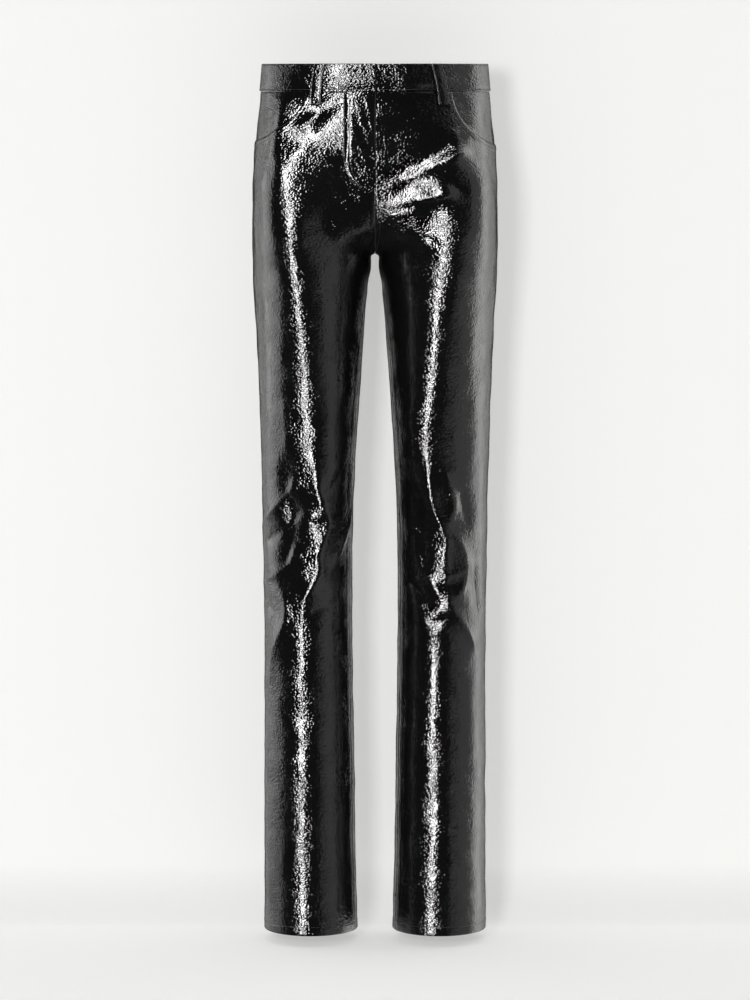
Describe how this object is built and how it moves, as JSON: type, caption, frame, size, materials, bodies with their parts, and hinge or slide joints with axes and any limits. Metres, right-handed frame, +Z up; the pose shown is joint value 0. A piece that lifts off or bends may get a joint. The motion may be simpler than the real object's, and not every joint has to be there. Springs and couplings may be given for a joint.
{
  "type": "vinyl straight-leg trousers",
  "caption": "Black patent-vinyl straight-leg trousers, hollow and held open at the waist, with curved front pockets, a fly flap and belt loops.",
  "frame": {"origin": "centre of the waist's top edge, where the wearer's waist holds the trousers up", "axes": "+Z up along the legs' length, -Y out of the front, +X towards the wearer's left leg"},
  "size_m": [0.3046, 0.2451, 1.0803],
  "materials": {
    "patent_vinyl": "high-gloss crinkled black patent vinyl on a knit backing",
    "patent_vinyl_band": "high-gloss black patent vinyl, two layers"
  },
  "bodies": {
    "root": {"front_right": "patent_vinyl", "front_left": "patent_vinyl", "back_right": "patent_vinyl", "back_left": "patent_vinyl", "pocket_facing_right": "patent_vinyl", "pocket_facing_left": "patent_vinyl", "fly_flap": "patent_vinyl", "waistband_right": "patent_vinyl_band", "waistband_left": "patent_vinyl_band", "belt_loop_front_right": "patent_vinyl_band", "belt_loop_front_left": "patent_vinyl_band", "belt_loop_back_right": "patent_vinyl_band", "belt_loop_back_left": "patent_vinyl_band", "belt_loop_centre_back": "patent_vinyl_band"}
  },
  "joints": []
}
